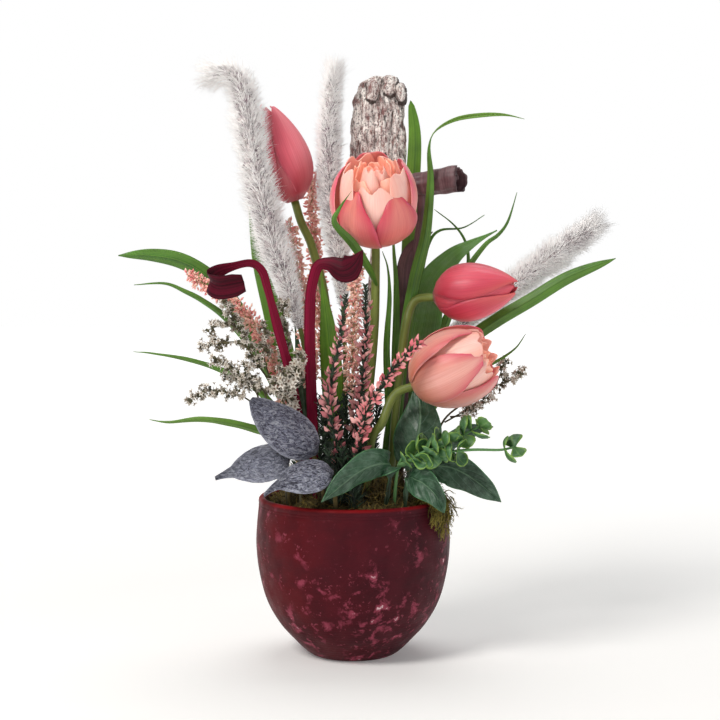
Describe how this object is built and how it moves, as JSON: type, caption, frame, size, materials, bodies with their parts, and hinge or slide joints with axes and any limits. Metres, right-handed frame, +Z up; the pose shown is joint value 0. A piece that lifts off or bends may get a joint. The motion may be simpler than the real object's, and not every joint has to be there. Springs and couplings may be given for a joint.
{
  "type": "potted tulip arrangement",
  "caption": "Artificial tulips with buds, furry plumes, curled leaves, heather, statice, seed pods and greenery standing in moss in a round burgundy pot.",
  "frame": {"origin": "centre of the flat face under the pot", "axes": "+Z up along the pot's axis, the face of the arrangement towards -Y, +X to its right"},
  "size_m": [0.3582, 0.1487, 0.4266],
  "materials": {
    "pot_glaze": "glazed, worn",
    "foam": "porous",
    "moss": "fibrous",
    "petal_pink": "satin",
    "petal_peach": "satin",
    "stem_green": "satin",
    "leaf_green": "satin",
    "leaf_dark": "satin, hazed",
    "plume_fur": "furry",
    "bark": "whitewashed, grooved",
    "burgundy_leaf": "satin",
    "mauve_leaf": "satin",
    "statice_white": "matt",
    "spray_pink": "matt",
    "heather_pink": "matt",
    "eucalyptus": "matt",
    "grey_pod": "painted, wrinkled"
  },
  "bodies": {
    "root": {"pot": "pot_glaze", "foam": "foam", "moss": "moss", "tulip_bud_left": "petal_pink", "tulip_bud_right": "petal_pink", "tulip_open_centre": "petal_peach", "tulip_open_right": "petal_peach", "stem_bud_left": "stem_green", "stem_bud_right": "stem_green", "stem_open_centre": "stem_green", "stem_open_right": "stem_green", "plume_left": "plume_fur", "plume_centre": "plume_fur", "plume_right": "plume_fur", "bark_pod": "bark", "burgundy_leaf_left": "burgundy_leaf", "burgundy_leaf_centre": "burgundy_leaf", "mauve_leaf_rolled": "mauve_leaf", "mauve_leaf_bent": "mauve_leaf", "grass_left": "leaf_green", "grass_centre": "leaf_green", "grass_right": "leaf_green", "grass_back": "leaf_green", "leaf_upright": "leaf_green", "leaf_broad": "leaf_green", "leaf_behind_plume": "leaf_green", "leaf_dark_left": "leaf_dark", "base_leaf_front": "leaf_dark", "base_leaf_rim": "leaf_dark", "base_leaf_right": "leaf_dark", "base_leaf_upright": "leaf_dark", "base_leaf_back": "leaf_dark", "statice_left": "statice_white", "statice_low": "statice_white", "statice_front": "statice_white", "statice_right": "statice_white", "pink_spray_left": "spray_pink", "pink_spray_middle": "spray_pink", "pink_spray_back": "spray_pink", "pink_spray_centre": "spray_pink", "heather_left": "heather_pink", "heather_middle": "heather_pink", "heather_right": "heather_pink", "eucalyptus_sprig": "eucalyptus", "seed_pod_top": "grey_pod", "seed_pod_left": "grey_pod", "seed_pod_front": "grey_pod"}
  },
  "joints": []
}
